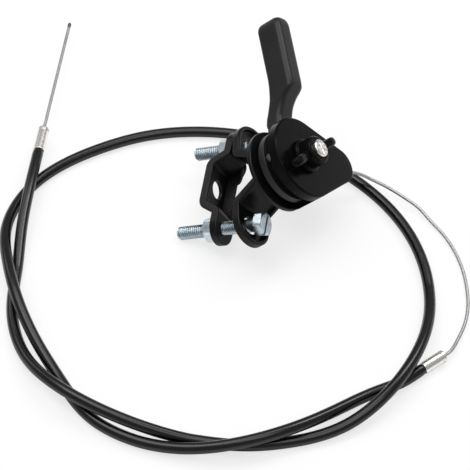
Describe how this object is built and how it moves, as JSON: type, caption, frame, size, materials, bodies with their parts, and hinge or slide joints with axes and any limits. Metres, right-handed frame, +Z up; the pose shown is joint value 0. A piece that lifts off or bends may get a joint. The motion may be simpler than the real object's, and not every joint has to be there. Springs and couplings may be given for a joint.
{
  "type": "throttle lever cable",
  "caption": "Hand throttle lever on a two-bolt handlebar clamp, with a wing nut on its pivot and a sheathed inner-wire control cable laid in loops.",
  "frame": {"origin": "on the surface the part lies on, under the centre of the lever assembly's box", "axes": "+Z up, +Y away along the lever's length as it lies, +X towards the cover's nose"},
  "size_m": [0.2055, 0.2494, 0.0665],
  "materials": {
    "black_paint": "gloss black paint on pressed steel",
    "black_plastic": "satin black moulded plastic",
    "gloss_plastic": "glossy black moulding",
    "zinc": "bright zinc plating",
    "nickel": "bright nickel plating",
    "steel_wire": "bare stranded steel wire",
    "sheath_black": "glossy black extruded sheath",
    "solder": "dull fused wire end"
  },
  "bodies": {
    "clamp_and_housing": {"base_bracket": "black_paint", "clamp_strap": "black_paint", "clamp_bolt_near": "zinc", "clamp_bolt_far": "zinc", "clamp_nut_near": "zinc", "clamp_nut_far": "zinc", "clamp_washer_near": "zinc", "clamp_washer_far": "zinc", "pivot_stud": "zinc", "hub_plate": "black_paint", "friction_washer": "black_plastic", "cable_cover": "gloss_plastic", "core_wire_run": "steel_wire", "cable_sheath": "sheath_black", "ferrule_lever_end": "nickel", "ferrule_engine_end": "nickel"},
    "lever": {"throttle_lever": "black_plastic", "cable_nipple": "nickel", "core_wire_wrap": "steel_wire"},
    "wing_nut": {"wing_nut": "black_plastic"},
    "inner_wire": {"core_wire_tail": "steel_wire", "wire_end_tip": "solder"}
  },
  "joints": [
    {"name": "lever_turn", "type": "hinge", "parent": "clamp_and_housing", "child": "lever", "pos_m": [0.00465, -0.01705, 0.03066], "axis": [0.726, -0.0776, 0.6833], "range_deg": [0, 90]},
    {"name": "wing_nut_turn", "type": "hinge", "parent": "clamp_and_housing", "child": "wing_nut", "pos_m": [0.01881, -0.01857, 0.04399], "axis": [0.726, -0.0776, 0.6833], "range_deg": [0, 180]},
    {"name": "inner_wire_slide", "type": "slide", "parent": "clamp_and_housing", "child": "inner_wire", "axis": [0.1028, 0.9945, -0.0204], "range_m": [-0.0215, 0]}
  ],
  "couplings": [
    {"joint": "inner_wire_slide", "follows": "lever_turn", "m_per_rad": -0.0134}
  ]
}
